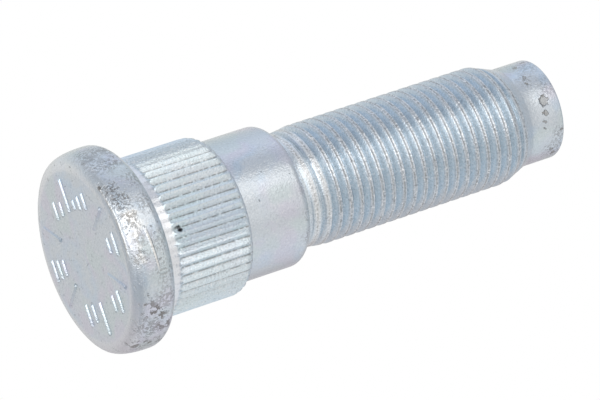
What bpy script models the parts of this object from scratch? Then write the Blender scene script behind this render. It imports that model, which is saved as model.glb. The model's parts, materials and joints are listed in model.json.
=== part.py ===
"""Wheel stud: a round-headed stud, pressed into a hub from behind so that its thread takes a wheel nut.

The real stud is one piece of steel, cold-headed, with a rolled knurl and a rolled thread, and so is the model.
It stands on its head: the origin is in the middle, level with the tops of the face's grade lines, and +Z runs
along the stud to its tip.
Lengths are in metres.
"""

import math

import bmesh
import bpy
from mathutils import Matrix, Vector

MM = 0.001

# Head. Its flat face rolls off to a rim that is widest at the rim's height.
HEAD_DIAMETER = 20.87 * MM
HEAD_HEIGHT = 4.72 * MM
FACE_DIAMETER = 17.40 * MM
FACE_ROLL_RADIUS = 2.00 * MM
FACE_ROLL_ANGLE = 37
RIM_HEIGHT = 3.17 * MM
RIM_START_ANGLE = 80
SEAT_EDGE_RADIUS = 1.10 * MM
SEAT_FILLET_RADIUS = 0.30 * MM

# Raised grade lines on the head's face
GRADE_LINES = 6
GRADE_LINE_HEIGHT = 0.17 * MM
GRADE_LINE_WIDTH = 0.45 * MM
GRADE_LINE_INNER_DIAMETER = 9.00 * MM
GRADE_LINE_OUTER_DIAMETER = 16.40 * MM
GRADE_LINE_ROOT = 0.30 * MM

# Knurled press-fit section, on a core that starts at the head's seat. Rolling raises the crests of its V-shaped
# teeth out of the core and presses the roots in.
CORE_DIAMETER = 16.03 * MM
CORE_STEP_LENGTH = 0.40 * MM
NECK_LENGTH = 1.61 * MM
KNURL_DIAMETER = 16.46 * MM
KNURL_LENGTH = 8.32 * MM
KNURL_TEETH = 49
KNURL_ROOT_BEARING = math.radians(-0.7)
KNURL_ROOT_DIAMETER = 15.62 * MM
KNURL_CREST_WIDTH = 0.14 * MM
KNURL_HEAD_END_LENGTH = 0.30 * MM
KNURL_LEAD_LENGTH = 0.80 * MM

# Plain shank
SHANK_DIAMETER = 14.65 * MM
SHANK_LENGTH = 7.54 * MM
SHANK_EDGE_RADIUS = 1.01 * MM

# Thread, 1/2 inch with 20 turns to the inch, right-handed. The hidden turns are trimmed off below the shank's end,
# and so set where around the stud the first turn comes out.
THREAD_DIAMETER = 12.50 * MM
THREAD_PITCH = 1.27 * MM
THREAD_DEPTH = 0.66 * MM
THREAD_FLANK_ANGLE = math.radians(30)
THREAD_CREST_WIDTH = 0.42 * MM
THREAD_LENGTH = 27.79 * MM
THREAD_BLANK_DIAMETER = 11.68 * MM
THREAD_START_LENGTH = 0.40 * MM
THREAD_RUNOUT_LENGTH = 3.20 * MM
THREAD_LEAD_LENGTH = 2.75 * MM
THREAD_HIDDEN_TURNS = 1.33

# Dog point
DOG_DIAMETER = 10.44 * MM
DOG_LENGTH = 3.86 * MM
DOG_EDGE_RADIUS = 0.25 * MM

# Places along the axis
FACE_Z = GRADE_LINE_HEIGHT
SEAT_Z = HEAD_HEIGHT
KNURL_START_Z = SEAT_Z + NECK_LENGTH
CREST_START_Z = KNURL_START_Z + KNURL_HEAD_END_LENGTH
KNURL_END_Z = KNURL_START_Z + KNURL_LENGTH
CREST_END_Z = KNURL_END_Z - KNURL_LEAD_LENGTH
SHANK_END_Z = KNURL_END_Z + SHANK_LENGTH
THREAD_END_Z = SHANK_END_Z + THREAD_LENGTH
TIP_Z = THREAD_END_Z + DOG_LENGTH

# Heights of the rings that the knurl's teeth are shaped from
KNURL_RINGS = (KNURL_START_Z, CREST_START_Z, CREST_END_Z, KNURL_END_Z)

# Facets: the head, knurl and shank share one facet for each tooth of the knurl
THREAD_FACETS = 40
ARC_STEPS = 4
WELD_DISTANCE = 0.001 * MM
SHARP_ANGLE = math.radians(32)

ZINC_COLOUR = (0.60, 0.65, 0.70, 1.0)
ZINC_ROUGHNESS = 0.32


def clear_scene():
    for thing in list(bpy.data.objects):
        bpy.data.objects.remove(thing, do_unlink=True)


def arc(centre, size, start, end):
    """Points along an ellipse's arc in the plane of radius and height. Angles are in degrees from +radius."""
    points = []
    for step in range(ARC_STEPS + 1):
        angle = math.radians(start + (end - start) * step / ARC_STEPS)
        points.append((centre[0] + size[0] * math.cos(angle), centre[1] + size[1] * math.sin(angle)))
    return points


def turned_outline():
    """Half section from the rim of the head's flat face to the rim where the thread starts."""
    head = HEAD_DIAMETER / 2
    roll = (FACE_ROLL_RADIUS, FACE_ROLL_RADIUS)
    face_roll = arc((FACE_DIAMETER / 2, FACE_Z + FACE_ROLL_RADIUS), roll, -90, FACE_ROLL_ANGLE - 90)
    start = math.radians(RIM_START_ANGLE)
    rim = ((head - face_roll[-1][0]) / (1 - math.cos(start)), (RIM_HEIGHT - face_roll[-1][1]) / math.sin(start))
    core = CORE_DIAMETER / 2
    shank = SHANK_DIAMETER / 2
    edge = (SEAT_EDGE_RADIUS, SEAT_EDGE_RADIUS)
    fillet = (SEAT_FILLET_RADIUS, SEAT_FILLET_RADIUS)
    shank_edge = (SHANK_EDGE_RADIUS, SHANK_EDGE_RADIUS)
    return [
        *face_roll[:-1],
        *arc((head - rim[0], RIM_HEIGHT), rim, -RIM_START_ANGLE, 0),
        *arc((head - SEAT_EDGE_RADIUS, SEAT_Z - SEAT_EDGE_RADIUS), edge, 0, 90),
        *arc((core + SEAT_FILLET_RADIUS, SEAT_Z + SEAT_FILLET_RADIUS), fillet, 270, 180),
        *[(core, height) for height in KNURL_RINGS],
        (shank, KNURL_END_Z + CORE_STEP_LENGTH),
        *arc((shank - SHANK_EDGE_RADIUS, SHANK_END_Z - SHANK_EDGE_RADIUS), shank_edge, 0, 90),
    ]


def thread_outline():
    """One turn of the thread from root to root, as radius and height above the turn's start."""
    crest = THREAD_DIAMETER / 2
    root = crest - THREAD_DEPTH
    flank_width = THREAD_DEPTH * math.tan(THREAD_FLANK_ANGLE)
    root_width = THREAD_PITCH - THREAD_CREST_WIDTH - 2 * flank_width
    return [
        (root, 0.0),
        (root, root_width),
        (crest, root_width + flank_width),
        (crest, root_width + flank_width + THREAD_CREST_WIDTH),
        (root, THREAD_PITCH),
    ]


def draw(mesh, outline, start_z=0.0, bearing=0.0):
    """Draw an outline as a chain of edges in a plane through the axis, at a bearing from +X."""
    turn = Matrix.Rotation(bearing, 3, "Z")
    verts = [mesh.verts.new(turn @ Vector((radius, 0.0, start_z + height))) for radius, height in outline]
    edges = [mesh.edges.new(pair) for pair in zip(verts[:-1], verts[1:])]
    return verts + edges


def spin(mesh, profile, facets, turns=1, rise=0.0):
    """Turn a profile about Z, rising by the given amount in each turn, and weld what meets."""
    bmesh.ops.spin(
        mesh,
        geom=profile,
        cent=(0.0, 0.0, 0.0),
        axis=(0.0, 0.0, 1.0),
        dvec=(0.0, 0.0, rise / facets),
        angle=math.tau * turns,
        steps=facets * turns,
    )
    bmesh.ops.remove_doubles(mesh, verts=mesh.verts[:], dist=WELD_DISTANCE)


def trim(mesh, height, above):
    """Cut the mesh at a height and drop what lies above or below it."""
    bmesh.ops.bisect_plane(
        mesh,
        geom=mesh.verts[:] + mesh.edges[:] + mesh.faces[:],
        dist=WELD_DISTANCE,
        plane_co=(0.0, 0.0, height),
        plane_no=(0.0, 0.0, 1.0),
        clear_outer=above,
        clear_inner=not above,
    )


def ring_edges(mesh, height):
    """The edges that lie at a height."""
    return [edge for edge in mesh.edges if all(abs(vert.co.z - height) < WELD_DISTANCE for vert in edge.verts)]


def open_rim(mesh, height):
    return [edge for edge in ring_edges(mesh, height) if edge.is_boundary]


def set_radius(vert, radius):
    around = Vector((vert.co.x, vert.co.y)).normalized() * radius
    vert.co = (around.x, around.y, vert.co.z)


def extrude_rim(mesh, height, radius, next_height):
    """Extrude the open rim at a height to another radius and height."""
    made = bmesh.ops.extrude_edge_only(mesh, edges=open_rim(mesh, height))["geom"]
    for vert in made:
        if isinstance(vert, bmesh.types.BMVert):
            set_radius(vert, radius)
            vert.co.z = next_height


def cap_rim(mesh, height):
    bmesh.ops.holes_fill(mesh, edges=open_rim(mesh, height))


def thread_limits(height):
    """Smallest and largest radius of the thread at a height.

    Roots and crests part from the blank's own radius along the run-out, and the crests slope down to the dog point.
    """
    crest = THREAD_DIAMETER / 2
    blank = THREAD_BLANK_DIAMETER / 2
    dog = DOG_DIAMETER / 2
    past_start = max(height - SHANK_END_Z - THREAD_START_LENGTH, 0.0)
    runout = min(past_start / THREAD_RUNOUT_LENGTH, 1.0)
    lead = min((THREAD_END_Z - height) / THREAD_LEAD_LENGTH, 1.0)
    largest = min(blank + (crest - blank) * runout, dog + (crest - dog) * lead)
    smallest = blank + (crest - THREAD_DEPTH - blank) * runout
    return min(smallest, largest), largest


def roll_thread(mesh):
    """Wind one thread outline up the stud, trim it square at both ends and fade it out there."""
    turns = math.ceil(THREAD_LENGTH / THREAD_PITCH) + 2
    profile = draw(mesh, thread_outline(), SHANK_END_Z - THREAD_PITCH * THREAD_HIDDEN_TURNS)
    spin(mesh, profile, THREAD_FACETS, turns, THREAD_PITCH)
    trim(mesh, SHANK_END_Z, above=False)
    trim(mesh, THREAD_END_Z, above=True)
    for vert in mesh.verts:
        smallest, largest = thread_limits(vert.co.z)
        radius = Vector((vert.co.x, vert.co.y)).length
        set_radius(vert, min(max(radius, smallest), largest))


def add_dog_point(mesh):
    """Carry the thread's end on as the plain pilot that guides the nut, with a rounded edge and a flat end."""
    centre = (DOG_DIAMETER / 2 - DOG_EDGE_RADIUS, TIP_Z - DOG_EDGE_RADIUS)
    height = THREAD_END_Z
    for radius, next_height in arc(centre, (DOG_EDGE_RADIUS, DOG_EDGE_RADIUS), 0, 90):
        extrude_rim(mesh, height, radius, next_height)
        height = next_height
    cap_rim(mesh, TIP_Z)


def turn_blank(mesh):
    """Turn the head, core and shank, close the head's face, and join the shank's end to the thread."""
    thread_rim = open_rim(mesh, SHANK_END_Z)
    spin(mesh, draw(mesh, turned_outline(), bearing=KNURL_ROOT_BEARING), KNURL_TEETH)
    cap_rim(mesh, FACE_Z)
    shank_rim = [edge for edge in open_rim(mesh, SHANK_END_Z) if edge not in thread_rim]
    bmesh.ops.bridge_loops(mesh, edges=thread_rim + shank_rim)


def raise_knurl(mesh):
    """Press the knurl's roots in, then split each facet of its rings beside the tooth's crest and raise the crest."""
    tooth_angle = math.tau / KNURL_TEETH
    core_flat = CORE_DIAMETER / 2 * math.cos(tooth_angle / 2)
    half_crest = KNURL_CREST_WIDTH / 2
    crest_flat = math.sqrt((KNURL_DIAMETER / 2) ** 2 - half_crest**2)
    rings = [edge for height in KNURL_RINGS for edge in ring_edges(mesh, height)]
    for vert in {vert for edge in rings for vert in edge.verts}:
        if vert.co.z > KNURL_START_Z + WELD_DISTANCE:
            set_radius(vert, KNURL_ROOT_DIAMETER / 2)
    split = bmesh.ops.subdivide_edges(mesh, edges=rings, cuts=2, use_grid_fill=True)
    for vert in split["geom_inner"]:
        if not isinstance(vert, bmesh.types.BMVert):
            continue
        bearing = math.atan2(vert.co.y, vert.co.x) - KNURL_ROOT_BEARING
        tooth = math.floor(bearing / tooth_angle) + 0.5
        turn = Matrix.Rotation(KNURL_ROOT_BEARING + tooth * tooth_angle, 3, "Z")
        side = math.copysign(half_crest, (turn.transposed() @ vert.co).y)
        on_crest = CREST_START_Z - WELD_DISTANCE < vert.co.z < CREST_END_Z + WELD_DISTANCE
        vert.co = turn @ Vector((crest_flat if on_crest else core_flat, side, vert.co.z))


def build_grade_lines():
    """Six bars around the head's face, rooted in it. They are joined to the stud and not shown themselves."""
    inner = GRADE_LINE_INNER_DIAMETER / 2
    outer = GRADE_LINE_OUTER_DIAMETER / 2
    height = GRADE_LINE_HEIGHT + GRADE_LINE_ROOT
    place = Matrix.Translation(((inner + outer) / 2, 0.0, height / 2))
    size = Matrix.Diagonal((outer - inner, GRADE_LINE_WIDTH, height, 1.0))
    mesh = bmesh.new()
    for line in range(GRADE_LINES):
        turn = Matrix.Rotation(math.tau * line / GRADE_LINES, 4, "Z")
        bmesh.ops.create_cube(mesh, size=1.0, matrix=turn @ place @ size)
    data = bpy.data.meshes.new("grade_lines")
    mesh.to_mesh(data)
    mesh.free()
    lines = bpy.data.objects.new("grade_lines", data)
    lines.hide_render = True
    bpy.context.collection.objects.link(lines)
    return lines


def zinc_material():
    material = bpy.data.materials.new("zinc_plate")
    material.use_nodes = True
    shader = material.node_tree.nodes["Principled BSDF"]
    shader.inputs["Base Color"].default_value = ZINC_COLOUR
    shader.inputs["Metallic"].default_value = 1.0
    shader.inputs["Roughness"].default_value = ZINC_ROUGHNESS
    material.diffuse_color = ZINC_COLOUR
    return material


def build_wheel_stud():
    mesh = bmesh.new()
    roll_thread(mesh)
    add_dog_point(mesh)
    turn_blank(mesh)
    raise_knurl(mesh)
    bmesh.ops.recalc_face_normals(mesh, faces=mesh.faces[:])
    for face in mesh.faces:
        face.smooth = True
    data = bpy.data.meshes.new("wheel_stud")
    mesh.to_mesh(data)
    mesh.free()
    data.set_sharp_from_angle(angle=SHARP_ANGLE)
    data.materials.append(zinc_material())
    stud = bpy.data.objects.new("wheel_stud", data)
    bpy.context.collection.objects.link(stud)
    join = stud.modifiers.new("grade lines", "BOOLEAN")
    join.operation = "UNION"
    join.object = build_grade_lines()
    return stud


clear_scene()
build_wheel_stud()
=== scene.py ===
"""Wheel stud in clear-blue zinc plate, in a plain white studio.

The stud stands on its head, and the camera looks up at it from below the head's side, as the photograph does.
Lengths are in metres, or in mm where a name or a comment says so.
"""

import json
import math

import bpy
from bpy.props import FloatProperty, FloatVectorProperty, IntProperty, PointerProperty
from bpy.types import Operator, Panel, PropertyGroup
from mathutils import Matrix, Vector

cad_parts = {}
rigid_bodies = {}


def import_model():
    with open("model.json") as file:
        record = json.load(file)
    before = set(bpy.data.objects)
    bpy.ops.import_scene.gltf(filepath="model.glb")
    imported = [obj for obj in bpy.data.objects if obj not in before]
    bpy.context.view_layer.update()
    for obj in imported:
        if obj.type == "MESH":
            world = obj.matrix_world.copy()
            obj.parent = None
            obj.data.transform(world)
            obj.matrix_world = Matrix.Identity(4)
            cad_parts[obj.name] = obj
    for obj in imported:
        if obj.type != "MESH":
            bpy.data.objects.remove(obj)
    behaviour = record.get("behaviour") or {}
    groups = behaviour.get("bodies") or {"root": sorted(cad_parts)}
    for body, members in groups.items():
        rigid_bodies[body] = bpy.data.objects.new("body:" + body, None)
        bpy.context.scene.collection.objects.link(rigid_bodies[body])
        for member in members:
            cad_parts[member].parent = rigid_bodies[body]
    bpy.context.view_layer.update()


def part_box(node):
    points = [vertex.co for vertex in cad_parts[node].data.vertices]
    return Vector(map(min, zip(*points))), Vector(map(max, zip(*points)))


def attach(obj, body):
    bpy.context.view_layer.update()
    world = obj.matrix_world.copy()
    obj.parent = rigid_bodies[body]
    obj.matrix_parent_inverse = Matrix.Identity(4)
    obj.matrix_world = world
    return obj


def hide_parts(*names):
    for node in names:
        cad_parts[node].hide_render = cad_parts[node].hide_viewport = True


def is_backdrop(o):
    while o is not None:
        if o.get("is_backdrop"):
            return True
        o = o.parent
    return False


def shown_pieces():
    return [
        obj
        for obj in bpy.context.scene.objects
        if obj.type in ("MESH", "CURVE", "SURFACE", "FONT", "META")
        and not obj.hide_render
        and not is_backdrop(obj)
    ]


bl_info = {
    "name": "Wheel Stud",
    "version": (1, 0, 0),
    "blender": (4, 5, 0),
    "location": "View3D > Sidebar > Wheel Stud",
    "description": "Models a press-in wheel stud with its knurl, thread, zinc finish and studio",
    "category": "Add Mesh",
}

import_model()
STUD_LOW, STUD_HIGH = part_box("wheel_stud")

MM = 0.001
FULL_TURN = math.tau
WELD_DISTANCE = 0.002 * MM


def number(name, description, default, **more):
    return FloatProperty(name=name, description=description, default=default, **more)


def length(name, description, millimetres):
    return number(name, description, millimetres * MM, unit="LENGTH", precision=5)


def colour(name, owner, default):
    description = f"Colour of the {owner}"
    return FloatVectorProperty(
        name=name, description=description, default=default, size=3, subtype="COLOR", min=0.0, max=1.0
    )


class HeadSizes(PropertyGroup):
    diameter: length("Diameter", "Across the widest part of the rim", 20.87)
    height: length("Height", "From the tops of the grade lines to the seat", 4.72)
    face_diameter: length("Face", "Across the flat part of the face", 17.40)
    face_height: length("Face height", "Height of the face above the tops of the grade lines", 0.17)
    roll_radius: length("Roll radius", "Radius that the face rolls off with", 2.00)
    rim_height: length("Rim height", "Height at which the rim is widest", 3.17)
    seat_radius: length("Seat edge", "Radius between the rim and the seat", 1.10)
    fillet_radius: length("Fillet", "Radius between the seat and the neck", 0.30)
    line_inner: length("Line start", "Radius at which a grade line starts", 4.50)
    line_outer: length("Line end", "Radius at which a grade line ends", 8.20)
    line_width: length("Line width", "Width of a grade line at its foot", 0.70)
    lines: IntProperty(name="Lines", description="Number of grade lines", default=6, min=1)


class KnurlSizes(PropertyGroup):
    core_diameter: length("Core", "Across the neck that the knurl is rolled in", 16.03)
    crest_diameter: length("Crests", "Across the crests of the teeth", 16.46)
    root_diameter: length("Roots", "Across the roots of the teeth", 15.62)
    neck_length: length("Neck", "Plain neck between the seat and the knurl", 1.61)
    knurl_length: length("Length", "Length of the knurl", 8.32)
    lead_length: length("Lead", "Length over which the crests fall off towards the shank", 0.80)
    teeth: IntProperty(name="Teeth", description="Number of teeth", default=49, min=8)
    root_bearing: number(
        "Root bearing", "Bearing of the first root from +X", math.radians(-0.7), subtype="ANGLE"
    )
    columns: IntProperty(name="Columns", description="Faces across each tooth", default=8, min=4, max=8)


class ShankSizes(PropertyGroup):
    diameter: length("Diameter", "Across the plain shank", 14.65)
    shank_length: length("Length", "Length of the plain shank", 7.54)
    edge_radius: length("Edge", "Radius at the end of the shank", 1.01)
    step_length: length("Step", "Length of the step from the knurl down to the shank", 0.40)


class ThreadSizes(PropertyGroup):
    diameter: length("Diameter", "Across the crests of the thread", 12.50)
    pitch: length("Pitch", "Distance between two turns", 1.27)
    depth: length("Depth", "Height of the thread's profile", 0.66)
    furrow_depth: length("Furrow", "Depth of the furrow that rolling leaves along the crest", 0.06)
    blank_diameter: length("Blank", "Across the plain band beside the shank", 11.68)
    thread_length: length("Length", "Length of the thread", 27.79)
    start_length: length("Start", "Plain band before the first turn", 0.40)
    runout_length: length("Run-out", "Length over which the first turns deepen", 3.20)
    lead_length: length("Lead", "Length over which the last turns fall to the dog point", 2.75)
    hidden_turns: number("Hidden turns", "Turns cut off below the shank's end", 1.33)
    steps: IntProperty(name="Steps", description="Faces round one turn", default=96, min=12)


class DogSizes(PropertyGroup):
    diameter: length("Diameter", "Across the plain dog point", 10.44)
    edge_radius: length("Edge", "Radius at the tip's edge", 0.25)


class ZincFinish(PropertyGroup):
    plate: colour("Plate", "zinc plate", (0.755, 0.805, 0.850))
    blue: colour("Blue", "plate where its film is thin", (0.690, 0.790, 0.890))
    lilac: colour("Lilac", "plate where its film is thick", (0.775, 0.775, 0.855))
    green: colour("Green", "plate between the two", (0.740, 0.810, 0.830))
    tooth: colour("Teeth", "knurl's teeth", (0.820, 0.925, 0.965))
    flank: colour("Flanks", "thread's flanks", (0.745, 0.830, 0.895))
    # Painted shade in the thread's roots
    root: colour("Roots", "thread's roots", (0.645, 0.720, 0.785))
    crest: colour("Crests", "ridges along the thread's crest", (0.760, 0.795, 0.830))
    # Also laid on the knurl's flanks near the grooves as painted shade
    furrow: colour("Furrow", "furrow between the ridges", (0.46, 0.45, 0.43))
    # Painted shade along the bottoms of the knurl's grooves
    dirt: colour("Dirt", "dirt in the knurl's grooves", (0.36, 0.36, 0.36))
    pit: colour("Pits", "bottoms of pits and scale marks", (0.21, 0.185, 0.165))
    dent: colour("Dents", "dents in the dog point", (0.30, 0.27, 0.23))
    # Colour of painted highlights: the bright patches and glints, the crease and rib, and the first turns of
    # the thread
    bright: colour("Bright places", "bare places on the rim", (1.0, 0.985, 0.95))
    # Painted highlight laid on the whole neck
    neck: colour("Neck", "clean neck", (0.97, 0.98, 1.0))
    roll: colour("Roll", "edge that the face rolls off with", (0.92, 0.925, 0.935))
    light_fleck: colour("Light flecks", "light flecks", (1.0, 1.0, 1.0))
    dark_fleck: colour("Dark flecks", "dark flecks", (0.30, 0.30, 0.31))
    spot: colour("Spots", "small black spots", (0.02, 0.02, 0.025))
    roughness: number("Roughness", "Roughness of the plate", 0.19, min=0.0, max=1.0, subtype="FACTOR")


class StudioSettings(PropertyGroup):
    floor: colour("Floor", "floor", (0.86, 0.86, 0.86))
    key_power: number("Key light", "Power of the key light", 0.38, min=0.0)
    fill_power: number("Fill light", "Power of the fill light", 0.40, min=0.0)
    low_power: number("Low light", "Power of the light below", 0.19, min=0.0)
    front_power: number("Front light", "Power of the light by the camera", 0.52, min=0.0)
    side_power: number("Side light", "Power of the light past the head", 0.40, min=0.0)
    ambient: number("Ambient", "Brightness of the room on matt surfaces", 0.85, min=0.0)
    room: number("Room", "Brightness of the room in reflections", 0.84, min=0.0)
    room_floor: colour("Room floor", "room's floor in reflections", (0.49, 0.53, 0.575))
    room_ceiling: colour("Room ceiling", "room's ceiling in reflections", (0.60, 0.63, 0.67))
    floor_size: length("Floor size", "Side of the square floor", 12000.0)
    floor_gap: length("Floor gap", "Gap between the grade lines' tops and the floor", 0.02)


class StudSettings(PropertyGroup):
    head: PointerProperty(type=HeadSizes)
    knurl: PointerProperty(type=KnurlSizes)
    shank: PointerProperty(type=ShankSizes)
    thread: PointerProperty(type=ThreadSizes)
    dog: PointerProperty(type=DogSizes)
    zinc: PointerProperty(type=ZincFinish)
    studio: PointerProperty(type=StudioSettings)


# Modelling by hand: small steps that the pieces share


def deselect_all():
    bpy.ops.object.select_all(action="DESELECT")


def edit_mode():
    bpy.ops.object.mode_set(mode="EDIT")


def object_mode():
    bpy.ops.object.mode_set(mode="OBJECT")


def select_mesh():
    bpy.ops.mesh.select_all(action="SELECT")


def draw_outline(name, points):
    """Draw a chain of edges in the XZ plane: a plane merged to one vertex, then extruded from point to point.

    The outline is left in edit mode.
    """
    deselect_all()
    bpy.ops.mesh.primitive_plane_add(size=MM, location=(points[0][0], 0.0, points[0][1]))
    outline = bpy.context.object
    outline.name = name
    outline.data.name = name
    bpy.ops.object.transform_apply(location=True, rotation=True, scale=True)
    edit_mode()
    select_mesh()
    bpy.ops.mesh.merge(type="CENTER")
    for (radius, height), (next_radius, next_height) in zip(points[:-1], points[1:]):
        step = (next_radius - radius, 0.0, next_height - height)
        bpy.ops.mesh.extrude_region_move(TRANSFORM_OT_translate={"value": step})
    return outline


def spin_outline(steps):
    """Spin the outline in edit mode once round the axis, and weld the seam and the pole."""
    select_mesh()
    bpy.ops.mesh.spin(steps=steps, angle=FULL_TURN, center=(0.0, 0.0, 0.0), axis=(0.0, 0.0, 1.0))
    select_mesh()
    bpy.ops.mesh.remove_doubles(threshold=WELD_DISTANCE)
    object_mode()


def arc(centre, radius, start, end, steps, rise=None):
    """Points along an arc in the plane of radius and height, which is an ellipse's if it has its own rise.

    Angles are in degrees from +radius.
    """
    rise = rise or radius
    angles = [math.radians(start + (end - start) * step / steps) for step in range(steps + 1)]
    return [(centre[0] + radius * math.cos(angle), centre[1] + rise * math.sin(angle)) for angle in angles]


def radius_of(vert):
    return math.hypot(vert.co.x, vert.co.y)


def set_radius(vert, radius):
    scale = radius / radius_of(vert)
    vert.co = (vert.co.x * scale, vert.co.y * scale, vert.co.z)


def select_rim(obj, height):
    """Select the open edges at a height, in edit mode."""
    bpy.ops.mesh.select_all(action="DESELECT")
    bpy.ops.mesh.select_mode(type="EDGE")
    bpy.ops.mesh.select_non_manifold(
        extend=False, use_wire=False, use_multi_face=False, use_non_contiguous=False
    )
    object_mode()
    for vert in obj.data.vertices:
        vert.select = False
    for edge in obj.data.edges:
        ends = [obj.data.vertices[index] for index in edge.vertices]
        edge.select = edge.select and all(abs(vert.co.z - height) <= WELD_DISTANCE for vert in ends)
        for vert in ends:
            vert.select |= edge.select
    edit_mode()


def places(settings):
    """Heights of the stud's sections above the tops of the grade lines."""
    seat = settings.head.height
    knurl_start = seat + settings.knurl.neck_length
    knurl_end = knurl_start + settings.knurl.knurl_length
    shank_end = knurl_end + settings.shank.shank_length
    return {
        "seat": seat,
        "knurl_start": knurl_start,
        "knurl_end": knurl_end,
        "shank_end": shank_end,
        "thread_end": shank_end + settings.thread.thread_length,
        "tip": STUD_HIGH.z,
    }


# Head, knurl and shank

# Where the roll ends, and how far below its widest ring the rim starts, in degrees
ROLL_END = -53
RIM_START = 80
# Rings on the flat face, as shares of its radius
FACE_RINGS = (0.5, 0.93)
# Faces along each rounding
ROLL_STEPS = 5
RIM_STEPS = 12
SEAT_STEPS = 8
FILLET_STEPS = 5
SHANK_EDGE_STEPS = 8
TIP_EDGE_STEPS = 6

# How the teeth begin: distance from the knurl's start in mm, and shares of their full depth and full rise
TOOTH_START = ((0.0, 0.0, 0.0), (0.10, 0.25, 0.45), (0.22, 0.70, 0.80), (0.38, 0.95, 0.97), (0.60, 1.0, 1.0))
# How their crests fall off towards the shank: share of the lead that is left, and share of the full rise
TOOTH_END = ((1.0, 1.0), (0.62, 0.90), (0.30, 0.58), (0.0, 0.0))
# Where the teeth end, as a share of the step down to the shank
TOOTH_STEP = 0.35
# Distance in mm from the step to the next ring of the shank
SHANK_RING = 2.0
# Share of the way from root to crest, column by column from the root to the middle of a tooth
TOOTH_SHAPE = (0.02, 0.24, 0.52, 0.80, 1.0)


def head_outline(head, knurl):
    """Half section of the head, from the middle of its face to the foot of the neck."""
    widest = head.diameter / 2
    roll_start = head.face_diameter / 2
    roll_centre = (roll_start, head.face_height + head.roll_radius)
    face_roll = arc(roll_centre, head.roll_radius, -90, ROLL_END, ROLL_STEPS)
    roll_end = face_roll[-1]
    rim_start = math.radians(RIM_START)
    rim_radius = (widest - roll_end[0]) / (1 - math.cos(rim_start))
    rim_rise = (head.rim_height - roll_end[1]) / math.sin(rim_start)
    core = knurl.core_diameter / 2
    seat_centre = (widest - head.seat_radius, head.height - head.seat_radius)
    fillet_centre = (core + head.fillet_radius, head.height + head.fillet_radius)
    return [
        (0.0, head.face_height),
        *[(roll_start * share, head.face_height) for share in FACE_RINGS],
        *face_roll[:-1],
        *arc((widest - rim_radius, head.rim_height), rim_radius, -RIM_START, 0, RIM_STEPS, rim_rise),
        *arc(seat_centre, head.seat_radius, 0, 90, SEAT_STEPS),
        *arc(fillet_centre, head.fillet_radius, 270, 180, FILLET_STEPS),
    ]


def knurl_rings(settings):
    """Heights along the knurl with the radius of its roots and of its crests there."""
    knurl = settings.knurl
    place = places(settings)
    core = knurl.core_diameter / 2
    crest = knurl.crest_diameter / 2
    root = knurl.root_diameter / 2
    start = place["knurl_start"]
    end = place["knurl_end"]
    shank = settings.shank.diameter / 2
    rise = crest - core
    drop = core - root
    rings = [(start + past * MM, core - deep * drop, core + high * rise) for past, deep, high in TOOTH_START]
    rings += [(end - knurl.lead_length * left, root, core + high * rise) for left, high in TOOTH_END]
    rings.append((end + settings.shank.step_length * TOOTH_STEP, root, core - (core - shank) * TOOTH_STEP))
    return rings


def shank_outline(settings):
    """Half section from the step after the knurl to the rim where the thread starts."""
    shank = settings.shank
    place = places(settings)
    radius = shank.diameter / 2
    start = place["knurl_end"] + shank.step_length
    edge_centre = (radius - shank.edge_radius, place["shank_end"] - shank.edge_radius)
    return [
        (radius, start),
        (radius, start + SHANK_RING * MM),
        *arc(edge_centre, shank.edge_radius, 0, 90, SHANK_EDGE_STEPS),
    ]


def press_teeth(stud, settings):
    """Press roots in and draw crests out, column by column round the knurl."""
    knurl = settings.knurl
    tooth = FULL_TURN / knurl.teeth
    rings = knurl_rings(settings)
    for vert in stud.data.vertices:
        ring = next((r for r in rings if abs(vert.co.z - r[0]) < WELD_DISTANCE), None)
        if ring is None:
            continue
        turn = (math.atan2(vert.co.y, vert.co.x) - knurl.root_bearing) / tooth
        column = round(turn * knurl.columns) % knurl.columns
        share = TOOTH_SHAPE[min(column, knurl.columns - column)]
        set_radius(vert, ring[1] + (ring[2] - ring[1]) * share)


class WHEELSTUD_OT_turn_blank(Operator):
    """Turn the head, neck, knurl core and shank, and roll the knurl"""

    bl_idname = "wheelstud.turn_blank"
    bl_label = "Turn Blank and Roll Knurl"

    def execute(self, context):
        settings = context.scene.wheel_stud
        core = settings.knurl.core_diameter / 2
        outline = [
            *head_outline(settings.head, settings.knurl),
            *[(core, ring[0]) for ring in knurl_rings(settings)],
            *shank_outline(settings),
        ]
        blank = draw_outline("stud_blank", outline)
        select_mesh()
        bpy.ops.transform.rotate(
            value=-settings.knurl.root_bearing, orient_axis="Z", center_override=(0.0, 0.0, 0.0)
        )
        spin_outline(settings.knurl.teeth * settings.knurl.columns)
        press_teeth(blank, settings)
        return {"FINISHED"}


# Thread and dog point

# The solid's crest stands a little above the middle of its turn, by half of its flat root
CREST_SHIFT = 0.045 * MM
# Points down the flank in mm, from a ridge's top: distance from the middle of the crest, and drop
FLANK = ((0.22, 0.012), (0.26, 0.045), (0.30, 0.10), (0.36, 0.20), (0.46, 0.38), (0.55, 0.54))
# More turns than the thread's length has, so that both ends can be trimmed
SPARE_TURNS = 2
# Rings of the dog point's side, in mm past the thread, and of its end, as shares of its radius
DOG_RINGS = (1.2, 2.4)
TIP_RINGS = (0.9, 0.4)


def thread_outline(thread):
    """One turn's profile from root to root: a crest with two rounded ridges, and flanks to a round root."""
    crest = thread.diameter / 2
    furrow = thread.furrow_depth
    depth = thread.depth
    half_turn = [
        (0.00, furrow), (0.05, furrow * 0.85), (0.10, furrow * 0.35), (0.14, furrow * 0.05), (0.18, 0.0),
        *[(offset, drop * MM) for offset, drop in FLANK],
        (0.60, depth * 0.95), (0.635, depth),
    ]
    middle = thread.pitch / 2
    rising = [(crest - drop, middle - offset * MM) for offset, drop in reversed(half_turn)]
    falling = [(crest - drop, middle + offset * MM) for offset, drop in half_turn[1:]]
    return rising + falling


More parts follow.
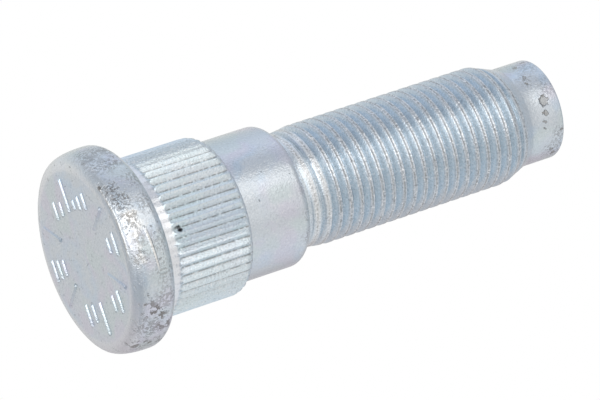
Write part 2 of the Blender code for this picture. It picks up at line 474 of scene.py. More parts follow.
def thread_limits(height, settings):
    """Smallest and largest radius of the thread at a height, as it fades in and slopes to the dog point."""
    thread = settings.thread
    place = places(settings)
    crest = thread.diameter / 2
    blank = thread.blank_diameter / 2
    dog = settings.dog.diameter / 2
    past_start = max(height - place["shank_end"] - thread.start_length, 0.0)
    runout = min(past_start / thread.runout_length, 1.0)
    lead = min((place["thread_end"] - height) / thread.lead_length, 1.0)
    largest = min(blank + (crest - blank) * runout, dog + (crest - dog) * lead)
    smallest = blank + (crest - thread.depth - blank) * runout
    return min(smallest, largest), largest


class WHEELSTUD_OT_roll_thread(Operator):
    """Wind one turn's profile up the stud, trim it at both ends, fade it out, and add the dog point"""

    bl_idname = "wheelstud.roll_thread"
    bl_label = "Roll Thread and Dog Point"

    def execute(self, context):
        settings = context.scene.wheel_stud
        thread = settings.thread
        place = places(settings)
        bottom = place["shank_end"] - thread.pitch * thread.hidden_turns
        profile = [(radius, bottom + CREST_SHIFT + height) for radius, height in thread_outline(thread)]
        rolled = draw_outline("stud_thread", profile)
        object_mode()
        screw = rolled.modifiers.new("turns", "SCREW")
        screw.axis = "Z"
        screw.angle = FULL_TURN
        screw.screw_offset = thread.pitch
        screw.iterations = math.ceil(thread.thread_length / thread.pitch) + SPARE_TURNS
        screw.steps = thread.steps
        screw.render_steps = thread.steps
        screw.use_merge_vertices = True
        screw.merge_threshold = WELD_DISTANCE
        bpy.ops.object.modifier_apply(modifier=screw.name)
        edit_mode()
        select_mesh()
        bpy.ops.mesh.remove_doubles(threshold=WELD_DISTANCE)
        for height, above in ((place["shank_end"], False), (place["thread_end"], True)):
            select_mesh()
            bpy.ops.mesh.bisect(
                plane_co=(0.0, 0.0, height),
                plane_no=(0.0, 0.0, 1.0),
                clear_outer=above,
                clear_inner=not above,
                threshold=WELD_DISTANCE,
            )
        object_mode()
        for vert in rolled.data.vertices:
            smallest, largest = thread_limits(vert.co.z, settings)
            set_radius(vert, min(max(radius_of(vert), smallest), largest))
        add_dog_point(rolled, settings)
        return {"FINISHED"}


def add_dog_point(rolled, settings):
    """Extrude the thread's last rim into the plain dog point with its rounded edge and flat end."""
    dog = settings.dog
    place = places(settings)
    radius = dog.diameter / 2
    height = place["thread_end"]
    edge_centre = (radius - dog.edge_radius, place["tip"] - dog.edge_radius)
    rings = [
        *[(radius, height + past * MM) for past in DOG_RINGS],
        *arc(edge_centre, dog.edge_radius, 0, 90, TIP_EDGE_STEPS),
        *[(radius * share, place["tip"]) for share in TIP_RINGS],
    ]
    edit_mode()
    select_rim(rolled, height)
    for next_radius, next_height in rings:
        bpy.ops.mesh.extrude_region_move(TRANSFORM_OT_translate={"value": (0.0, 0.0, next_height - height)})
        scale = next_radius / radius
        bpy.ops.transform.resize(value=(scale, scale, 1.0), center_override=(0.0, 0.0, next_height))
        radius = next_radius
        height = next_height
    bpy.ops.mesh.edge_face_add()
    object_mode()


# The whole stud

# A stroke's top, in widths of its foot: what its length loses at each end, what its width keeps, its bevel
STROKE_INSET = 0.34
STROKE_TOP = 0.32
STROKE_BEVEL = 0.045
# How far the strokes reach into the head
STROKE_SINK = 0.10 * MM
BAR_WIDTH = 0.72 * MM
BAR_TOP = 0.005 * MM
# Groups of plain bars in mm: the middle of the group, and each bar's place beside it and half length
BAR_GROUPS = (
    ((-5.2, -2.6), ((-1.2, 0.65), (0.0, 0.85), (1.2, 1.00))),
    ((-5.2, 2.4), ((-0.7, 1.10), (0.7, 0.90))),
    ((0.4, 6.5), ((-1.2, 1.30), (0.0, 1.15), (1.2, 1.00))),
    ((5.6, 2.6), ((-0.7, 1.30), (0.7, 1.10))),
    ((5.2, -3.9), ((-0.7, 1.00), (0.7, 1.30))),
    ((-0.3, -6.9), ((-0.7, 0.95), (0.7, 1.35))),
)
# Steepest angle between faces that still look like one surface, in degrees
SMOOTH_STROKE = 40
SMOOTH_STUD = 50


def mark_stroke(name, start, end, width, top, root):
    """A raised stroke on the head's face: a box drawn in to a narrow top, with its edges rounded."""
    deselect_all()
    middle = (start + end) / 2
    reach = end - start
    bpy.ops.mesh.primitive_cube_add(size=1.0, location=(0.0, 0.0, 0.0))
    stroke = bpy.context.object
    stroke.name = name
    stroke.data.name = name
    edit_mode()
    select_mesh()
    bpy.ops.transform.resize(value=(reach.length, width, root - top))
    object_mode()
    for vert in stroke.data.vertices:
        if vert.co.z < 0.0:
            vert.co.x -= math.copysign(width * STROKE_INSET, vert.co.x)
            vert.co.y *= STROKE_TOP
    bevel = stroke.modifiers.new("round edges", "BEVEL")
    bevel.width = width * STROKE_BEVEL
    bevel.segments = 3
    bevel.limit_method = "ANGLE"
    bpy.ops.object.modifier_apply(modifier=bevel.name)
    turn = Matrix.Rotation(math.atan2(reach.y, reach.x), 4, "Z")
    stroke.data.transform(Matrix.Translation((middle.x, middle.y, (top + root) / 2)) @ turn)
    bpy.ops.object.shade_smooth_by_angle(angle=math.radians(SMOOTH_STROKE))


class WHEELSTUD_OT_raise_marks(Operator):
    """Raise the six grade lines on the head's face and the short plain bars between them"""

    bl_idname = "wheelstud.raise_marks"
    bl_label = "Raise Grade Lines and Bars"

    def execute(self, context):
        head = context.scene.wheel_stud.head
        root = head.face_height + STROKE_SINK
        for line in range(head.lines):
            angle = FULL_TURN * line / head.lines
            ray = Vector((math.cos(angle), math.sin(angle)))
            start, end = ray * head.line_inner, ray * head.line_outer
            mark_stroke(f"grade_line_{line + 1}", start, end, head.line_width, 0.0, root)
        for group, (middle, bars) in enumerate(BAR_GROUPS):
            for bar, (aside, half) in enumerate(bars):
                x = middle[0] * MM
                y = (middle[1] - aside) * MM
                start = Vector((x - half * MM, y))
                end = Vector((x + half * MM, y))
                mark_stroke(f"bar_{group + 1}_{bar + 1}", start, end, BAR_WIDTH, BAR_TOP, root)
        return {"FINISHED"}


class WHEELSTUD_OT_weld_stud(Operator):
    """Join the shank's end to the thread, so that the stud is one closed piece that stands for the solid"""

    bl_idname = "wheelstud.weld_stud"
    bl_label = "Weld Stud"

    def execute(self, context):
        settings = context.scene.wheel_stud
        place = places(settings)
        deselect_all()
        stud = bpy.data.objects["stud_blank"]
        bpy.data.objects["stud_thread"].select_set(True)
        stud.select_set(True)
        context.view_layer.objects.active = stud
        bpy.ops.object.join()
        stud.name = "stud"
        stud.data.name = "stud"
        edit_mode()
        select_rim(stud, place["shank_end"])
        bpy.ops.mesh.bridge_edge_loops()
        select_mesh()
        bpy.ops.mesh.normals_make_consistent(inside=False)
        object_mode()
        bpy.ops.object.shade_smooth_by_angle(angle=math.radians(SMOOTH_STUD))
        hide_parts("wheel_stud")
        marks = [obj for obj in bpy.data.objects if obj.name.startswith(("grade_line", "bar_"))]
        for piece in (stud, *marks):
            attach(piece, "root")
        return {"FINISHED"}


# Zinc plate


class Nodes:
    """A material's nodes, added one by one and linked by name."""

    def __init__(self, material):
        material.use_nodes = True
        self.tree = material.node_tree
        self.tree.nodes.clear()

    def add(self, kind, inputs=None, **settings):
        node = self.tree.nodes.new(kind)
        for name, value in settings.items():
            setattr(node, name, value)
        for name, value in (inputs or {}).items():
            socket = node.inputs[name]
            if isinstance(value, bpy.types.NodeSocket):
                self.tree.links.new(value, socket)
            else:
                socket.default_value = value
        return node

    def math(self, operation, *values):
        return self.add("ShaderNodeMath", dict(enumerate(values)), operation=operation).outputs[0]

    def fold(self, operation, first, *others):
        """The operation on the first two values, then on the result and the next value, and so on."""
        for other in others:
            first = self.math(operation, first, other)
        return first

    def times(self, *values):
        return self.fold("MULTIPLY", *values)

    def apart(self, first, second):
        """The difference of two values, without its sign."""
        return self.math("ABSOLUTE", self.math("SUBTRACT", first, second))

    def vector(self, operation, inputs, output="Vector"):
        return self.add("ShaderNodeVectorMath", inputs, operation=operation).outputs[output]

    def ramp(self, value, low, high, start=0.0, end=1.0):
        """A soft step from start at low to end at high."""
        inputs = {"Value": value, "From Min": low, "From Max": high, "To Min": start, "To Max": end}
        return self.add("ShaderNodeMapRange", inputs, interpolation_type="SMOOTHSTEP").outputs[0]

    def ramp_of_colours(self, value, stops):
        """A row of colours that run into each other."""
        node = self.add("ShaderNodeValToRGB", {"Fac": value})
        elements = node.color_ramp.elements
        elements[0].position, elements[0].color = stops[0][0], opaque(stops[0][1])
        elements[1].position, elements[1].color = stops[-1][0], opaque(stops[-1][1])
        for position, rgb in stops[1:-1]:
            elements.new(position).color = opaque(rgb)
        return node.outputs["Color"]

    def noise(self, vector, scale, detail, roughness):
        inputs = {"Vector": vector, "Scale": scale, "Detail": detail, "Roughness": roughness}
        return self.add("ShaderNodeTexNoise", inputs).outputs["Fac"]

    def mix(self, share, first, second):
        node = self.add("ShaderNodeMix", data_type="RGBA")
        for socket, value in ((0, share), (6, first), (7, second)):
            if isinstance(value, bpy.types.NodeSocket):
                self.tree.links.new(value, node.inputs[socket])
            else:
                node.inputs[socket].default_value = value
        return node.outputs[2]


def opaque(rgb):
    return (*rgb, 1.0)


# Marks of wear, and painted highlights (the bright patches and glints): height in mm, bearing from -Y towards
# +X in degrees, size in mm, and depth from 0 to 1
BLACK_SPOTS = (
    (7.15, 2, 0.36, 1), (6.84, -1, 0.16, 0.6), (25.16, -37, 0.17, 0.9), (46.97, 4.5, 0.15, 0.8),
    (45.8, 47.5, 0.15, 1), (35.9, 31.5, 0.1, 0.6), (41.3, 22, 0.09, 0.5), (29.4, -12, 0.09, 0.5),
    (16.74, 0.5, 0.11, 0.5), (20.85, -12, 0.1, 0.4), (18.15, -20, 0.09, 0.4), (12.1, 20.5, 0.12, 0.5),
)
DENTS = (
    (52.06, -5, 0.52, 1), (52.15, -9.5, 0.3, 0.8), (51.88, 9, 0.28, 0.8), (51.55, 6.5, 0.14, 0.6),
    (51.51, 17.5, 0.17, 0.8), (51.48, 25.5, 0.17, 1), (51.33, -40, 0.22, 0.9), (51.18, -31, 0.16, 0.7),
    (51.66, -62, 0.22, 0.9), (52.96, -69, 0.24, 0.9), (53.47, 34, 0.2, 0.9), (52.57, 58, 0.22, 0.8),
    (52.9, 66, 0.24, 0.8),
)
# Painted highlights on the rim's near side, where the lights are reflected
BRIGHT_PATCHES = (
    (1.5, -13, 0.8, 1), (1.75, -8, 0.8, 0.8), (1.25, -3, 0.55, 0.9), (1.2, 4, 0.5, 0.6),
    (1.19, 10.5, 0.55, 0.9),
)
# Painted glints
GLINTS = (
    (35.9, 29.5, 0.14, 1), (25.67, -42, 0.22, 1),
)
PIT_PATCHES = (
    (2.27, 45, 1.2, 1), (1.53, 38, 0.8, 0.8), (3.35, 55, 1, 0.9), (1.56, 74, 1.2, 0.9), (2.9, 72, 1.1, 0.7),
    (1.5, -60, 1, 0.5), (2.9, -50, 1.1, 0.6), (3.6, -64, 1.1, 0.6), (0.55, -36.5, 0.45, 1),
)
SPECKLE_PATCHES = (
    (1.16, -31.5, 0.95, 1), (1.41, -24, 1, 1), (1.36, -12, 0.95, 0.9), (1.6, -1, 0.9, 0.6),
    (1.25, 10, 0.9, 0.7), (3.7, -34, 1.1, 0.5), (3.8, -18, 1.1, 0.5), (3.7, 4, 1.2, 0.45),
    (3.6, 21, 1.3, 0.5), (3.3, 36, 1.3, 0.6), (1.6, 56, 1.4, 0.7), (1.9, -50, 1.4, 0.5),
    (2.2, -66, 1.5, 0.55), (52.9, 58, 1.4, 0.5), (53.3, 36, 0.9, 0.5), (53.2, -20, 1.1, 0.4),
    (52.4, -60, 1.5, 0.35), (51.4, -36, 0.9, 0.4), (21.95, 24, 0.8, 0.45), (21.95, 42, 0.9, 0.45),
    (21.95, 4, 0.8, 0.35),
)
# Kinds of marks: the marks, the place that they are measured from, and how soft their edges are
MARKS = {
    "pitted": (PIT_PATCHES, "wide", 0.5),
    "sandy": (SPECKLE_PATCHES, "wide", 0.6),
    "bare patches": (BRIGHT_PATCHES, "wide", 0.5),
    "glints": (GLINTS, "near", 0.4),
    "dent": (DENTS, "ragged", 0.25),
    "spot": (BLACK_SPOTS, "near", 0.25),
}
# Places moved by noise, for ragged edges: the first place, the noise's scale and detail, and its reach in mm
RAGGED = {
    "wide": ("place", 1500.0, 2.0, 1.6),
    "near": ("place", 1500.0, 2.0, 0.45),
    "ragged": ("near", 3400.0, 1.0, 0.65),
}
# Noises: scale, detail and roughness
NOISES = {
    "lilac clouds": (170.0, 2.0, 0.5),
    "tinted clouds": (330.0, 3.0, 0.5),
    "green clouds": (230.0, 1.0, 0.5),
    "gloss": (900.0, 3.0, 0.5),
    "wear": (1100.0, 3.0, 0.7),
    "dirt": (2400.0, 2.0, 0.5),
    "flakes": (1900.0, 3.0, 0.6),
    "sand": (3700.0, 2.0, 0.6),
    "flecks": (4600.0, 1.0, 0.5),
    "grain": (8000.0, 2.0, 0.6),
    "pebble": (4000.0, 1.0, 0.5),
}

# Thin raised lines on the head's near side, painted bright there as painted highlights: the crease where the
# face rolls over, in mm beyond the flat face, and the rib half-way up the rim, in mm of height. Second, how
# far they drift towards +X, in mm per radius.
CREASE = (0.82, -0.3)
RIB = (2.57, 0.75)

# Masks, each the product of its parts. A part is a number, another value's name, or a soft step: what it
# measures, from where in mm (None for values without a unit), where it starts and ends, and its values there
# if they aren't 0 and 1.
PRODUCTS = {
    "head": (("height", "seat", -0.5, 0, 1, 0),),
    "rim": (("radius", "face", 0, 1.2), "head"),
    "roll side": (("height", "zero", 0.8, 1.3, 1, 0),),
    "near side": (("y", "zero", -2, 0, 1, 0),),
    "neck": (("height", "seat", 0, 0.2), ("height", "knurl_start", -0.2, 0.2, 1, 0)),
    "knurl": (("height", "knurl_start", -0.1, 0.1), ("height", "knurl_end", -0.15, 0, 1, 0)),
    "thread": (("height", "shank_end", 0, 0.3), ("height", "thread_end", -1.2, -0.4, 1, 0)),
    "ridge": ("thread", ("off crest", "zero", 0.22, 0.30, 1, 0)),
    "uneven": (("wear", None, 0.38, 0.62),),
    "pits": (("flakes", None, 0.49, 0.56), "pitted"),
    "strays": (("flakes", None, 0.63, 0.71), "astray"),
    "speckle": (("sand", None, 0.47, 0.57), "sandy", 0.85),
    "crease": (
        ("off crease", "zero", 0.04, 0.16, 1, 0), "roll side", "near side", ("uneven", None, 0, 1, 0.4, 1),
        ("aside", None, -0.70, -0.55), ("aside", None, 0.05, 0.25, 1, 0),
    ),
    "rib": (
        ("off rib", "zero", 0.07, 0.21, 1, 0), "rim", "near side",
        ("aside", None, -0.12, 0), ("aside", None, 0.26, 0.36, 1, 0),
    ),
    "texture": ("fine", "coarse"),
}
# Values added up, each with its share
SUMS = {
    "astray": (("rim", 0.45), ("head", 0.25)),
    "flecked": (("thread", 0.20), ("knurl", 0.22), ("ridge", 0.55), ("all", 0.28)),
    "fine": (("grain", 0.6), ("pebble", 0.7)),
    "coarse": (("knurl", 0.2), ("ridge", 0.7), ("all", 1.0)),
    "relief": (
        ("texture", 1.0), ("scale", -2.0), ("dent", -3.5), ("spot", -1.5), ("crease", 2.6), ("rib", 2.2)
    ),
}
# The largest of some values
LARGEST = {
    "bare": ("bare patches", "glints"),
    "scale": ("pits", "strays", "speckle"),
}
RELIEF_HEIGHT = 0.03 * MM

# Tints laid one on another: the colour's setting, and the parts of its mask
TINTS = (
    ("green", ("green clouds", None, 0.52, 0.64)),
    # Bluer flanks, painted shade in the roots, a duller, warmer furrow along the crests, and a painted
    # highlight on the first turns
    ("flank", "thread"),
    # Painted shade: the thread's roots darkened
    ("root", "thread", ("off crest", "zero", 0.34, 0.48), 0.6),
    ("crest", "ridge", ("uneven", None, 0, 1, 1, 0.6)),
    ("furrow", "thread", ("off crest", "zero", 0.03, 0.13, 1, 0), ("uneven", None, 0, 1, 0.25, 0.75)),
    # Painted highlight: the first turns of the thread lightened
    ("bright", "thread", ("height", "shank_end", 1.5, 4, 0.38, 0),
     ("off crest", "zero", 0.25, 0.45, 1, 0.35)),
    # Light teeth, with painted shade on the flanks and in broken lines along the bottoms of the grooves
    ("tooth", "knurl", 0.65),
    # Painted shade on the knurl's flanks, darker towards the grooves, in the furrow colour
    ("furrow", "knurl", ("radius", "groove", 0.06, 0.30, 0.14, 0)),
    # Painted shade in broken lines along the groove bottoms
    ("dirt", "knurl", ("radius", "groove", 0.01, 0.10, 0.75, 0), ("dirt", None, 0.34, 0.50)),
    # Painted highlights on the neck, the bright patches and glints, and the crease and rib; and the lighter
    # roll at the face's edge
    # Painted highlight: the neck lightened all round
    ("neck", "neck", 0.9),
    ("bright", "bare"),
    ("roll", ("radius", "face", -0.2, 0.3), "roll side", 0.6),
    # Painted highlights along the crease and the rib on the head's near side
    ("bright", "crease"),
    ("bright", "rib"),
    # Wear all over
    ("light_fleck", "flecked", ("flecks", None, 0.56, 0.70)),
    ("dark_fleck", "flecked", ("flecks", None, 0.30, 0.44, 0.45, 0)),
    ("pit", "scale", 0.82),
    ("dent", ("dent", None, 0.1, 0.4), ("dent", None, 0.5, 0.95, 1, 0.6), 0.75),
    ("spot", "spot"),
)
# What the gloss noise takes off the roughness and adds to it, and what scale adds
GLOSS = (-0.04, 0.05)
SCALE_ROUGHNESS = 0.10

# Below this height the rolled edge draws the head's side in, by this share of the way down
ROLLED_BELOW = 1.3 * MM
ROLLED_SHARE = 0.9


def surface_point(settings, height, bearing):
    """A point on the stud's side, from its height in mm and its bearing from -Y towards +X in degrees."""
    place = places(settings)
    height *= MM
    diameters = (
        ("seat", settings.head.diameter - 2 * max(0.0, ROLLED_BELOW - height) * ROLLED_SHARE),
        ("knurl_end", settings.knurl.crest_diameter),
        ("shank_end", settings.shank.diameter),
        ("thread_end", settings.thread.diameter),
    )
    radius = next((across for end, across in diameters if height < place[end]), settings.dog.diameter) / 2
    bearing = math.radians(bearing)
    return (radius * math.sin(bearing), -radius * math.cos(bearing), height)


class ZincLook:
    """The plate's values by name: measures of a point, noises, marks, and the masks that are made of them."""

    def __init__(self, nodes, settings):
        self.nodes = nodes
        self.settings = settings
        face = settings.head.face_diameter / 2
        groove = settings.knurl.root_diameter / 2
        self.bases = {**places(settings), "face": face, "groove": groove, "zero": 0.0}
        place = nodes.add("ShaderNodeTexCoord").outputs["Object"]
        x, y, height = nodes.add("ShaderNodeSeparateXYZ", {"Vector": place}).outputs
        squares = nodes.math("ADD", nodes.math("POWER", x, 2.0), nodes.math("POWER", y, 2.0))
        radius = nodes.math("SQRT", squares)
        aside = nodes.math("DIVIDE", x, radius)
        self.values = {
            "all": 1.0,
            "place": place,
            "y": y,
            "height": height,
            "radius": radius,
            "aside": aside,
            "off crest": self.off_crest(x, y, height),
            "off crease": self.off_line(radius, aside, face, *CREASE),
            "off rib": self.off_line(height, aside, 0.0, *RIB),
        }

    def off_crest(self, x, y, height):
        """Distance along the stud from the middle of the thread's crest."""
        nodes = self.nodes
        thread = self.settings.thread
        start = self.bases["shank_end"] - thread.pitch * thread.hidden_turns + CREST_SHIFT
        turn = nodes.times(nodes.math("ARCTAN2", y, x), -1.0 / FULL_TURN)
        climb = nodes.times(nodes.math("SUBTRACT", height, start), 1.0 / thread.pitch)
        part_turn = nodes.math("FRACT", nodes.math("ADD", climb, turn))
        return nodes.times(nodes.apart(part_turn, 0.5), thread.pitch)

    def off_line(self, value, aside, base, middle, drift):
        """Distance from a line round the head."""
        middle = self.nodes.math("ADD", self.nodes.times(aside, drift * MM), base + middle * MM)
        return self.nodes.apart(value, middle)

    def moved(self, start, scale, detail, reach):
        """A place moved by noise, up to half of its reach each way."""
        nodes = self.nodes
        inputs = {"Vector": self.value("place"), "Scale": scale, "Detail": detail}
        shift = nodes.add("ShaderNodeTexNoise", inputs).outputs["Color"]
        shift = nodes.vector("SUBTRACT", {0: shift, 1: (0.5, 0.5, 0.5)})
        shift = nodes.vector("SCALE", {0: shift, "Scale": reach * MM})
        return nodes.vector("ADD", {0: self.value(start), 1: shift})

    def marks(self, marks, place, edge):
        """How deep a point lies in the nearest mark: 0 outside them, and up to 1 in a deep one's middle."""
        depths = []
        for height, bearing, size, depth in marks:
            centre = surface_point(self.settings, height, bearing)
            away = self.nodes.vector("DISTANCE", {0: self.value(place), 1: centre}, "Value")
            size *= MM
            depths.append(self.nodes.ramp(away, size * (1.0 - edge), size * (1.0 + edge), depth, 0.0))
        return self.nodes.fold("MAXIMUM", *depths)

    def step(self, measure, base, low, high, start=0, end=1):
        """A soft step from start to end, as the measure goes from low to high."""
        unit, base = (1.0, 0.0) if base is None else (MM, self.bases[base])
        return self.nodes.ramp(self.value(measure), base + low * unit, base + high * unit, start, end)

    def product(self, parts):
        return self.nodes.times(*[self.value(part) for part in parts])

    def value(self, part):
        """The value of a part: a number, a soft step, or a name, whose value is made once."""
        if isinstance(part, (int, float)):
            return part
        if isinstance(part, tuple):
            return self.step(*part)
        if part not in self.values:
            self.values[part] = self.make(part)
        return self.values[part]

    def make(self, name):
        if name in MARKS:
            return self.marks(*MARKS[name])
        if name in RAGGED:
            return self.moved(*RAGGED[name])
        if name in NOISES:
            return self.nodes.noise(self.value("place"), *NOISES[name])
        if name in LARGEST:
            return self.nodes.fold("MAXIMUM", *[self.value(part) for part in LARGEST[name]])
        if name in SUMS:
            return self.nodes.fold("ADD", *[self.product(part) for part in SUMS[name]])
        return self.product(PRODUCTS[name])


def zinc_material(settings):
    """Satin blue-white plate, with a thin uneven film, scale on the head's rim, pits, spots and dents, and
    with painted highlights and painted shade.
    """
    zinc = settings.zinc
    material = bpy.data.materials.new("clear_blue_zinc")
    nodes = Nodes(material)
    look = ZincLook(nodes, settings)
    lilac = look.step("lilac clouds", None, 0.42, 0.58)
    tinted = look.step("tinted clouds", None, 0.40, 0.60)
    clouds = nodes.mix(lilac, opaque(zinc.blue), opaque(zinc.lilac))
    tint = nodes.mix(tinted, opaque(zinc.plate), clouds)
    for name, *parts in TINTS:
        tint = nodes.mix(look.product(parts), tint, opaque(getattr(zinc, name)))
    gloss = look.step("gloss", None, 0.3, 0.7, zinc.roughness + GLOSS[0], zinc.roughness + GLOSS[1])
    roughness = nodes.math("ADD", gloss, look.product(("scale", SCALE_ROUGHNESS)))
    inputs = {"Height": look.value("relief"), "Strength": 1.0, "Distance": RELIEF_HEIGHT}
    bump = nodes.add("ShaderNodeBump", inputs)
    inputs = {"Base Color": tint, "Roughness": roughness, "Normal": bump.outputs[0], "Metallic": 1.0}
    shader = nodes.add("ShaderNodeBsdfPrincipled", inputs)
    nodes.add("ShaderNodeOutputMaterial", {"Surface": shader.outputs[0]})
    return material


class WHEELSTUD_OT_plate_zinc(Operator):
    """Give the stud its clear-blue zinc plate"""

    bl_idname = "wheelstud.plate_zinc"
    bl_label = "Plate With Zinc"

    def execute(self, context):
        material = zinc_material(context.scene.wheel_stud)
        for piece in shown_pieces():
            piece.data.materials.clear()
            piece.data.materials.append(material)
        return {"FINISHED"}


# Studio

# The photograph's view: the picture in pixels, and the length of one of them at the stud's distance
PICTURE_SIZE = (600, 400)
PIXEL = 0.1005 * MM
FOCAL_PIXELS = 5051
SENSOR_WIDTH = 36.0
AXIS_ANGLE = math.radians(63.02)
PICTURE_TILT = -math.radians(18.32)
AIM_HEIGHT = 26.71 * MM
AIM_PIXEL = (313.0, 182.15)

LIGHT_DISTANCE = 0.60
# The lights: bearing from -Y towards +X and rise above the floor, in degrees, width and height
LIGHTS = (
    ("key", -24.5, -10.0, (0.31, 1.30)),
    ("fill", -2.5, -10.0, (0.89, 1.30)),
    ("low", -20.0, -78.0, (0.31, 0.47)),
    ("front", -6.0, -22.0, (0.56, 0.54)),
    ("side", -24.0, -58.0, (0.46, 0.30)),
)

# In reflections the room takes its floor's colour straight below and low down on the camera's side, and its
# ceiling's colour high up. Shares of a direction's length, upwards or away from the camera.
BELOW_RISE = (-0.90, -0.50)
BESIDE_RISE = (-0.30, 0.18)
BESIDE_AWAY = (0.10, 0.60)
CEILING_RISE = (0.60, 0.92)


def photo_camera():
    """Place the camera so that the aim point on the stud's axis falls on its pixel."""
    forward = Vector((0.0, math.sin(AXIS_ANGLE), math.cos(AXIS_ANGLE)))
    along = Vector((0.0, -math.cos(AXIS_ANGLE), math.sin(AXIS_ANGLE)))
    across = forward.cross(along)
    right = math.cos(PICTURE_TILT) * along - math.sin(PICTURE_TILT) * across
    down = math.sin(PICTURE_TILT) * along + math.cos(PICTURE_TILT) * across
    aside = (AIM_PIXEL[0] - PICTURE_SIZE[0] / 2) * PIXEL
    below = (AIM_PIXEL[1] - PICTURE_SIZE[1] / 2) * PIXEL
    distance = FOCAL_PIXELS * PIXEL
    place = Vector((0.0, 0.0, AIM_HEIGHT)) - forward * distance - right * aside - down * below
    data = bpy.data.cameras.new("photo_camera")
    data.sensor_width = SENSOR_WIDTH
    data.lens = FOCAL_PIXELS / PICTURE_SIZE[0] * SENSOR_WIDTH
    data.clip_start = 0.01
    data.clip_end = 50.0
    camera = bpy.data.objects.new("photo_camera", data)
    bpy.context.scene.collection.objects.link(camera)
    facing = Matrix((right, -down, -forward)).transposed().to_4x4()
    camera.matrix_world = Matrix.Translation(place) @ facing
    bpy.context.scene.camera = camera


def soft_light(name, bearing, rise, size, power):
    """A rectangular light that faces the stud's middle."""
    bearing, rise = math.radians(bearing), math.radians(rise)
    level = math.cos(rise)
    direction = Vector((math.sin(bearing) * level, -math.cos(bearing) * level, math.sin(rise)))
    place = Vector((0.0, 0.0, (STUD_LOW.z + STUD_HIGH.z) / 2)) + direction * LIGHT_DISTANCE
    data = bpy.data.lights.new(name, "AREA")
    data.shape = "RECTANGLE"
    data.size = size[0]
    data.size_y = size[1]
    data.energy = power
    light = bpy.data.objects.new(name, data)
    bpy.context.scene.collection.objects.link(light)
    facing = direction.to_track_quat("Z", "Y").to_matrix().to_4x4()
    light.matrix_world = Matrix.Translation(place) @ facing
    light.visible_camera = False


def floor_material(rgb):
    """A pale floor that is seen from above only, so that the camera below it sees the stud's head."""
    material = bpy.data.materials.new("studio_floor")
    nodes = Nodes(material)
    back = nodes.add("ShaderNodeNewGeometry").outputs["Backfacing"]
    path = nodes.add("ShaderNodeLightPath")
    through = nodes.math("MAXIMUM", back, path.outputs["Is Shadow Ray"])
    through = nodes.math("MAXIMUM", through, path.outputs["Is Glossy Ray"])
    pale = nodes.add("ShaderNodeBsdfDiffuse", {"Color": opaque(rgb)})
    clear = nodes.add("ShaderNodeBsdfTransparent")
    shader = nodes.add("ShaderNodeMixShader", {0: through, 1: pale.outputs[0], 2: clear.outputs[0]})
    nodes.add("ShaderNodeOutputMaterial", {"Surface": shader.outputs[0]})
    return material


# The room's walls in reflections, by bearing from -Y towards +X: grey and bluish cards between the lights
WALLS = (
    (-180, (0.79, 0.79, 0.79)), (-160, (0.92, 0.92, 0.91)), (-138, (0.72, 0.77, 0.81)),
    (-120, (0.71, 0.78, 0.88)), (-100, (0.83, 0.89, 1.00)), (-86, (0.85, 0.90, 1.00)),
    (-74, (0.72, 0.76, 0.83)), (-62, (0.57, 0.60, 0.67)), (-48, (0.70, 0.73, 0.78)),
    (-38, (0.83, 0.83, 0.83)), (30, (0.83, 0.83, 0.83)), (40, (0.77, 0.77, 0.78)),
    (54, (0.86, 0.87, 0.86)), (75, (0.87, 0.88, 0.90)), (104, (0.83, 0.87, 0.92)),
    (126, (0.77, 0.77, 0.79)), (150, (0.60, 0.58, 0.60)), (166, (0.73, 0.72, 0.73)),
    (180, (0.79, 0.79, 0.79)),
)


def studio_world(studio):
    """White to the camera, and in reflections a pale room whose walls vary round the stud."""
    world = bpy.data.worlds.new("white_studio")
    bpy.context.scene.world = world
    nodes = Nodes(world)
    path = nodes.add("ShaderNodeLightPath")
    direction = nodes.add("ShaderNodeTexCoord").outputs["Generated"]
    split = nodes.add("ShaderNodeSeparateXYZ", {"Vector": direction})
    toward = nodes.times(split.outputs["Y"], -1.0)
    bearing = nodes.math("ARCTAN2", split.outputs["X"], toward)
    inputs = {"Value": bearing, "From Min": -math.pi, "From Max": math.pi}
    share = nodes.add("ShaderNodeMapRange", inputs).outputs[0]
    walls = nodes.ramp_of_colours(share, [((angle + 180) / 360, wall) for angle, wall in WALLS])
    rise = split.outputs["Z"]
    below = nodes.ramp(rise, *BELOW_RISE, 1.0, 0.0)
    beside = nodes.times(
        nodes.ramp(rise, *BESIDE_RISE, 1.0, 0.0), nodes.ramp(split.outputs["Y"], *BESIDE_AWAY, 1.0, 0.0)
    )
    down = nodes.math("MAXIMUM", below, beside)
    room = nodes.mix(down, walls, opaque(studio.room_floor))
    room = nodes.mix(nodes.ramp(rise, *CEILING_RISE), room, opaque(studio.room_ceiling))
    seen = nodes.math("MAXIMUM", path.outputs["Is Glossy Ray"], path.outputs["Is Transmission Ray"])
    seen_room = nodes.mix(seen, (1.0, 1.0, 1.0, 1.0), room)
    plain = nodes.ramp(path.outputs["Is Camera Ray"], 0.0, 1.0, studio.ambient, 1.0)
    inputs = {"Value": seen, "To Min": plain, "To Max": studio.room}
    strength = nodes.add("ShaderNodeMapRange", inputs).outputs[0]
    background = nodes.add("ShaderNodeBackground", {"Color": seen_room, "Strength": strength})
    nodes.add("ShaderNodeOutputWorld", {"Surface": background.outputs[0]})


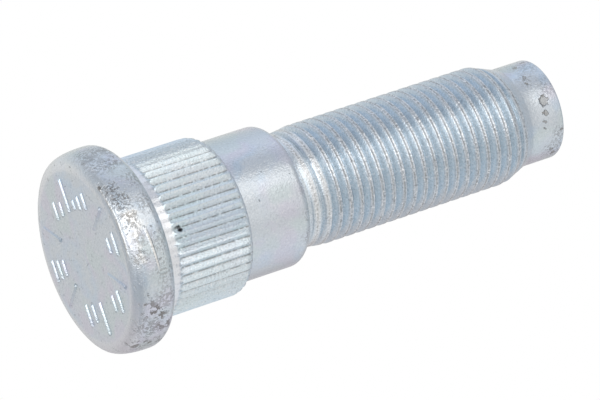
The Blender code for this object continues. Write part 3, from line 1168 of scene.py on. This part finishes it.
class WHEELSTUD_OT_dress_studio(Operator):
    """Set up the floor, the soft lights, the white surroundings and the camera"""

    bl_idname = "wheelstud.dress_studio"
    bl_label = "Dress Studio"

    def execute(self, context):
        studio = context.scene.wheel_stud.studio
        deselect_all()
        bpy.ops.mesh.primitive_plane_add(size=studio.floor_size, location=(0.0, 0.0, -studio.floor_gap))
        floor = context.object
        floor.name = "floor"
        floor.data.materials.append(floor_material(studio.floor))
        floor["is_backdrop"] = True
        studio_world(studio)
        for name, *where in LIGHTS:
            soft_light(f"{name}_light", *where, getattr(studio, f"{name}_power"))
        photo_camera()
        context.scene.view_settings.view_transform = "Standard"
        return {"FINISHED"}


class WHEELSTUD_PT_panel(Panel):
    """Lists the steps that make the stud and its studio"""

    bl_idname = "WHEELSTUD_PT_panel"
    bl_label = "Wheel Stud"
    bl_space_type = "VIEW_3D"
    bl_region_type = "UI"
    bl_category = "Wheel Stud"

    def draw(self, context):
        column = self.layout.column(align=True)
        for step in STEPS:
            column.operator(step.bl_idname)
        settings = context.scene.wheel_stud
        for name in StudSettings.__annotations__:
            group = getattr(settings, name)
            box = self.layout.box()
            box.label(text=name.capitalize())
            for key in group.__annotations__:
                box.prop(group, key)


STEPS = (
    WHEELSTUD_OT_turn_blank,
    WHEELSTUD_OT_roll_thread,
    WHEELSTUD_OT_raise_marks,
    WHEELSTUD_OT_weld_stud,
    WHEELSTUD_OT_plate_zinc,
    WHEELSTUD_OT_dress_studio,
)
GROUPS = (HeadSizes, KnurlSizes, ShankSizes, ThreadSizes, DogSizes, ZincFinish, StudioSettings, StudSettings)


def register():
    for kind in (*GROUPS, *STEPS, WHEELSTUD_PT_panel):
        bpy.utils.register_class(kind)
    bpy.types.Scene.wheel_stud = PointerProperty(type=StudSettings)


def unregister():
    del bpy.types.Scene.wheel_stud
    for kind in reversed((*GROUPS, *STEPS, WHEELSTUD_PT_panel)):
        bpy.utils.unregister_class(kind)


def main():
    register()
    bpy.ops.wheelstud.turn_blank()
    bpy.ops.wheelstud.roll_thread()
    bpy.ops.wheelstud.raise_marks()
    bpy.ops.wheelstud.weld_stud()
    bpy.ops.wheelstud.plate_zinc()
    bpy.ops.wheelstud.dress_studio()


if __name__ == "__main__":
    main()
